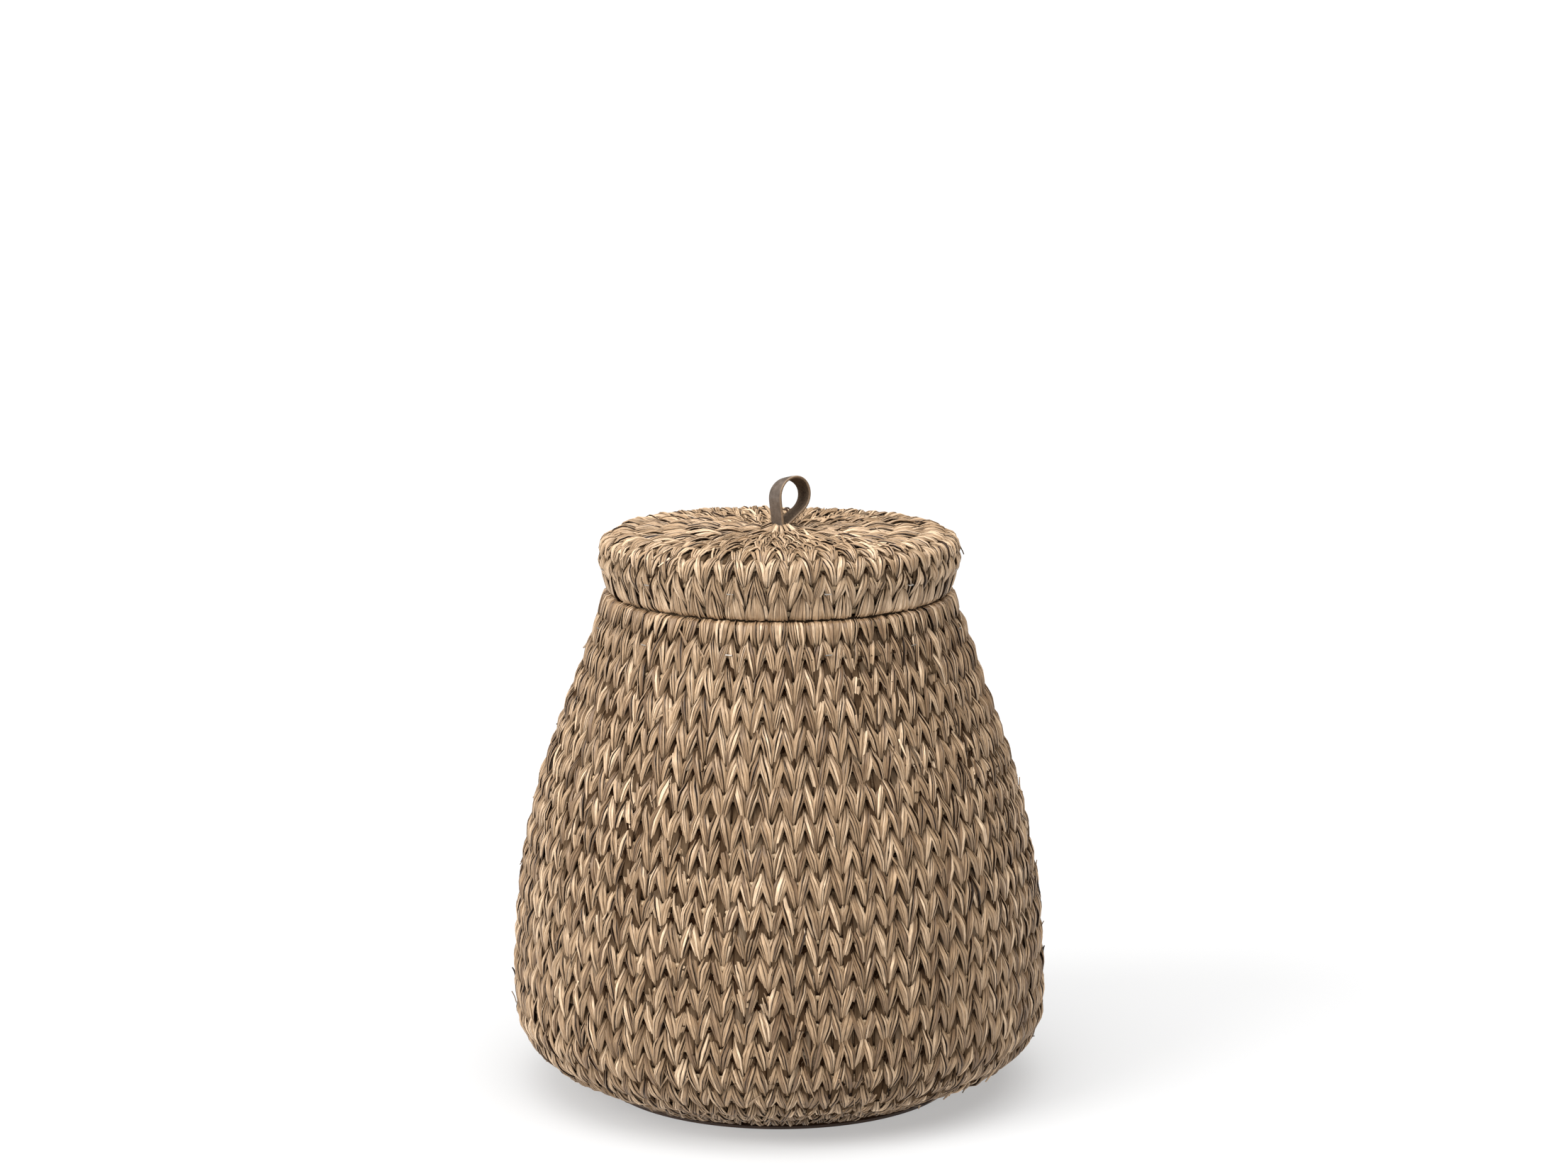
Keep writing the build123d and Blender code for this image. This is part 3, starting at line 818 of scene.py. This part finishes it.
# %% Cane and wood
def cane_material(name, dark, pale, rough):
    """Split cane or wood, with its grain along the object's own height and girth."""
    material = bpy.data.materials.new(name)
    material.use_nodes = True
    tree = material.node_tree
    shader = tree.nodes["Principled BSDF"]
    where = tree.nodes.new("ShaderNodeTexCoord")
    stretch = node(tree, "ShaderNodeMapping")
    stretch.inputs["Scale"].default_value = (60, 60, 900)
    tree.links.new(where.outputs["Object"], stretch.inputs["Vector"])
    grain = node(tree, "ShaderNodeTexNoise", Scale=1.0, Detail=4.0, Roughness=0.6)
    tree.links.new(stretch.outputs[0], grain.inputs["Vector"])
    colour = ramp(tree, grain.outputs["Fac"], [(0.32, dark), (0.68, pale)])
    tree.links.new(colour, shader.inputs["Base Color"])
    relief = node(tree, "ShaderNodeBump", Strength=0.4, Distance=0.0003)
    tree.links.new(grain.outputs["Fac"], relief.inputs["Height"])
    tree.links.new(relief.outputs[0], shader.inputs["Normal"])
    shader.inputs["Roughness"].default_value = rough
    return material


cane = cane_material("cane", (0.30, 0.19, 0.10), (0.55, 0.40, 0.24), 0.5)
dark_cane = cane_material("dark_cane", (0.030, 0.014, 0.008), (0.085, 0.042, 0.022), 0.45)
splint = cane_material("splint", (0.34, 0.22, 0.12), (0.56, 0.41, 0.25), 0.55)
toggle_wood = cane_material("toggle_wood", (0.26, 0.16, 0.08), (0.46, 0.31, 0.18), 0.5)
print("made", cane.name, dark_cane.name, splint.name, toggle_wood.name)

# %% [markdown]
# The hoops inside the lid lean with it, so they are made again.  A hoop is a tube whose middle line
# is a circle: its points are centre + radius * (cos b * outward + sin b * up).

# %% Cane hoops of the lid
HOOP_RADIUS = 3.0


def hoop_grid(line, s, around=112, sides=8):
    """Points of a hoop in the middle of the weave at length s, leaning with the lid."""
    r, z, _, _ = line.point(s, -DEPTH / 2)
    a = np.linspace(0, 2 * math.pi, around, endpoint=False)[:, None]
    b = np.linspace(0, 2 * math.pi, sides, endpoint=False)[None, :]
    radius = r + HOOP_RADIUS * np.cos(b) + 0 * a
    height = z + HOOP_RADIUS * np.sin(b) + 0 * a
    return lean(np.stack([radius * np.cos(a), radius * np.sin(a), height], -1))


hoops = np.stack([hoop_grid(lid_line, s_hoop) for s_hoop in [*lid_hoops[:-1], lid_last]])
mesh = bpy.data.meshes.new("lid_cane_hoops")
rings, around, sides = hoops.shape[:3]
index = np.arange(rings * around * sides).reshape(rings, around, sides)
step_a, step_b = np.roll(index, -1, 1), np.roll(index, -1, 2)
quads = np.stack([index, step_a, np.roll(step_a, -1, 2), step_b], -1).reshape(-1, 4)
mesh.from_pydata((hoops.reshape(-1, 3) / 1000).tolist(), [], quads.tolist())
mesh.shade_smooth()
mesh.materials.append(cane)
lid_cane = bpy.data.objects.new("lid_cane_hoops", mesh)
bpy.context.scene.collection.objects.link(lid_cane)
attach(lid_cane, "lid")
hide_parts("lid_hoops")
print("cane hoops in the lid", rings, "triangles", 2 * len(quads))

# %% [markdown]
# The pull is one strap of leather, folded into a drop shaped loop.  Its middle line goes up one
# tail, round the loop and down the other tail, and its corners are eased by averaging each point
# with its neighbours.  The section is a flat rectangle with rounded edges.  Its outer side is
# smooth and grey brown, its inner side is rough suede, and its cut edges are paler.

# %% Line and section of the strap
STRAP_WIDTH, STRAP_THICK = 19.0, 2.4
LOOP_RADIUS, LOOP_REACH, LOOP_LEAN = 17.0, 29.0, math.radians(25.0)
TAIL_OFFSET = STRAP_THICK / 2 + 0.05
PINCH = 1.5
pivot_z = lid_top + 2.6
tail_low = 1000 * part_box("pull_tails")[0][2]
half_angle = math.asin(LOOP_RADIUS / LOOP_REACH)


def strap_line(count=150, eased=10):
    """The strap's middle line in the loop's own plane: tail, side, round head, side, tail."""
    head = np.array([LOOP_REACH * math.sin(LOOP_LEAN), pivot_z + LOOP_REACH * math.cos(LOOP_LEAN)])
    start = math.pi - (LOOP_LEAN - half_angle)
    sweep = np.linspace(start, start - math.pi - 2 * half_angle, 60)
    arc = head + LOOP_RADIUS * np.stack([np.cos(sweep), np.sin(sweep)], -1)
    low = [(-TAIL_OFFSET, tail_low), (-TAIL_OFFSET, pivot_z - PINCH)]
    high = [(TAIL_OFFSET, pivot_z - PINCH), (TAIL_OFFSET, tail_low)]
    corners = np.concatenate([low, arc, high])
    lengths = np.concatenate([[0], np.cumsum(np.linalg.norm(np.diff(corners, axis=0), axis=1))])
    at = np.linspace(0, lengths[-1], count)
    path = np.stack([np.interp(at, lengths, corners[:, k]) for k in (0, 1)], -1)
    for _ in range(eased):
        path[1:-1] = 0.25 * path[:-2] + 0.5 * path[1:-1] + 0.25 * path[2:]
    return path


def strap_section(points=9, edge=5):
    """Half the outline is width by thickness, with half circles at its two edges.

    Each row is the place across, the place through it, and the side: 1 out, -1 in, 0 edge.
    """
    flat = STRAP_WIDTH / 2 - STRAP_THICK / 2
    across = np.linspace(-flat, flat, points)
    turn = np.linspace(0, math.pi, edge + 2)[1:-1]
    out_face = np.stack([across, np.full(points, STRAP_THICK / 2), np.ones(points)], -1)
    in_face = np.stack([across[::-1], np.full(points, -STRAP_THICK / 2), -np.ones(points)], -1)
    round_edge = np.stack([np.sin(turn), np.cos(turn)], -1) * STRAP_THICK / 2
    right = np.stack([flat + round_edge[:, 0], round_edge[:, 1], np.zeros(edge)], -1)
    left = np.stack([-flat - round_edge[:, 0], -round_edge[:, 1], np.zeros(edge)], -1)
    return np.concatenate([out_face, right, in_face, left])


path = strap_line()
section = strap_section()
strap_length = np.linalg.norm(np.diff(path, axis=0), axis=1).sum()
print("strap middle line", round(float(strap_length)), "mm")

# %% [markdown]
# The section is carried along the line.  It is cupped a little, by a square of the place across,
# its suede side is slightly ragged, and the loop twists: one edge of it hangs lower than the other.
# The strap bends at its pinch, above which the loop rises.

# %% Mesh of the strap
CUP, RAGGED, DIP, DIP_RISE = 0.35, 0.12, 0.25, 40.0


def tube_mesh(name, grid):
    """A tube from a grid of points in millimetres: v goes round and closes, the ends are capped."""
    rows, columns = grid.shape[:2]
    index = np.arange(rows * columns).reshape(rows, columns)
    index = np.concatenate([index, index[:, :1]], 1)
    quads = np.stack([index[:-1, :-1], index[1:, :-1], index[1:, 1:], index[:-1, 1:]], -1)
    caps = [index[0, :-1].tolist(), index[-1, -2::-1].tolist()]
    mesh = bpy.data.meshes.new(name)
    faces = quads.reshape(-1, 4).tolist() + caps
    mesh.from_pydata((grid.reshape(-1, 3) / 1000).tolist(), [], faces)
    mesh.shade_smooth()
    for cap in mesh.polygons[-2:]:
        cap.use_smooth = False
    return mesh


along = np.gradient(path, axis=0)
along /= np.linalg.norm(along, axis=1, keepdims=True)
outward = np.stack([-along[:, 1], along[:, 0]], -1)
through = section[:, 1] - CUP * (np.abs(section[:, 0]) / (STRAP_WIDTH / 2)) ** 2
in_plane = path[:, None, :] + through[None, :, None] * outward[:, None, :]
plane_way = np.array([math.cos(PULL_TURN), math.sin(PULL_TURN), 0])
width_way = np.array([-math.sin(PULL_TURN), math.cos(PULL_TURN), 0])
suede_side = np.where(section[:, 2] == -1, RAGGED, 0.0)
ragged = suede_side * rng.normal(0, 1, (len(path), len(section)))
grid = (
    in_plane[..., :1] * plane_way
    + (section[None, :, :1] + ragged[..., None]) * width_way
    + in_plane[..., 1:] * np.array([0, 0, 1.0])
)
rise = np.clip((path[:, 1] - pivot_z) / DIP_RISE, 0, 1)[:, None]
grid[..., 2] -= DIP * section[None, :, 0] * rise
strap_mesh = tube_mesh("leather_strap", grid)
side = strap_mesh.attributes.new("side", "FLOAT", "POINT")
side.data.foreach_set("value", np.tile(section[:, 2], len(path)).astype(np.float32))
print("strap faces", len(strap_mesh.polygons))

# %% [markdown]
# The leather's smooth side, its suede and its cut edges have colours of their own, and the mesh
# tells which is which by an attribute.  The suede is rough, and the smooth side has a low gloss.


def leather_material():
    """Smooth grain outside, suede inside and pale cut edges, told apart by the side attribute."""
    material = bpy.data.materials.new("leather")
    material.use_nodes = True
    tree = material.node_tree
    shader = tree.nodes["Principled BSDF"]
    side = node(tree, "ShaderNodeAttribute", attribute_name="side")
    where = tree.nodes.new("ShaderNodeTexCoord")
    grain = node(tree, "ShaderNodeTexNoise", Scale=900.0, Detail=4.0, Roughness=0.6)
    patch = node(tree, "ShaderNodeTexNoise", Scale=160.0, Detail=3.0, Roughness=0.6)
    nap = node(tree, "ShaderNodeTexNoise", Scale=520.0, Detail=5.0, Roughness=0.75)
    for noise in (grain, patch, nap):
        tree.links.new(where.outputs["Object"], noise.inputs["Vector"])
    polish = [(0.3, (0.080, 0.058, 0.042)), (0.7, (0.16, 0.125, 0.10))]
    fuzz = [(0.35, (0.055, 0.034, 0.020)), (0.7, (0.17, 0.115, 0.072))]
    cut = [(0.3, (0.17, 0.11, 0.065)), (0.7, (0.34, 0.24, 0.155))]
    smooth = ramp(tree, patch.outputs["Fac"], polish)
    suede = ramp(tree, nap.outputs["Fac"], fuzz)
    edge = ramp(tree, nap.outputs["Fac"], cut)
    outside = node(tree, "ShaderNodeMath", operation="MULTIPLY", use_clamp=True)
    outside.inputs[1].default_value = 1.0
    inside = node(tree, "ShaderNodeMath", operation="MULTIPLY", use_clamp=True)
    inside.inputs[1].default_value = -1.0
    tree.links.new(side.outputs["Fac"], outside.inputs[0])
    tree.links.new(side.outputs["Fac"], inside.inputs[0])
    colour = mixed(tree, "MIX", outside.outputs[0], edge, smooth)
    colour = mixed(tree, "MIX", inside.outputs[0], colour, suede)
    tree.links.new(colour, shader.inputs["Base Color"])
    rough = node(tree, "ShaderNodeMapRange")
    rough.inputs["From Min"].default_value = -1.0
    rough.inputs["To Min"].default_value = 0.95
    rough.inputs["To Max"].default_value = 0.42
    tree.links.new(side.outputs["Fac"], rough.inputs["Value"])
    tree.links.new(rough.outputs[0], shader.inputs["Roughness"])
    height = mixed(tree, "MIX", inside.outputs[0], grain.outputs["Fac"], nap.outputs["Fac"])
    relief = node(tree, "ShaderNodeBump", Strength=0.5, Distance=0.0005)
    tree.links.new(height, relief.inputs["Height"])
    tree.links.new(relief.outputs[0], shader.inputs["Normal"])
    return material


strap_mesh.materials.append(leather_material())
strap = bpy.data.objects.new("leather_strap", strap_mesh)
bpy.context.scene.collection.objects.link(strap)
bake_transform(strap)
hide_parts("pull_loop", "pull_tails")

# %% [markdown]
# The remaining CAD pieces have their true shapes already: the hoops in the wall and the base, the
# foot ring, the collar inside the lid, the toggle, the rivet with its washer, and the staples.
# They only need their finishes.

# %% Finishes of the CAD pieces
def metal_material(name, colour, roughness):
    """Metal with a fine uneven polish."""
    material = plain_material(name, colour, roughness)
    tree = material.node_tree
    shader = tree.nodes["Principled BSDF"]
    shader.inputs["Metallic"].default_value = 1.0
    where = tree.nodes.new("ShaderNodeTexCoord")
    wear = node(tree, "ShaderNodeTexNoise", Scale=700.0, Detail=3.0, Roughness=0.6)
    tree.links.new(where.outputs["Object"], wear.inputs["Vector"])
    relief = node(tree, "ShaderNodeBump", Strength=0.15, Distance=0.0002)
    tree.links.new(wear.outputs["Fac"], relief.inputs["Height"])
    tree.links.new(relief.outputs[0], shader.inputs["Normal"])
    return material


brass = metal_material("brass", (0.72, 0.52, 0.24), 0.35)
wire = metal_material("staple_wire", (0.48, 0.45, 0.41), 0.45)
finishes = {
    "base_hoops": cane, "wall_hoops": cane, "foot_ring": dark_cane, "lid_collar": splint,
    "pull_toggle": toggle_wood, "pull_rivet": brass, "pull_washer": brass,
    "wall_staples": wire, "lid_staples": wire, "collar_staples": wire,
}
for name, material in finishes.items():
    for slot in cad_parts[name].material_slots:
        slot.material = material
print("finished", len(finishes), "CAD pieces")
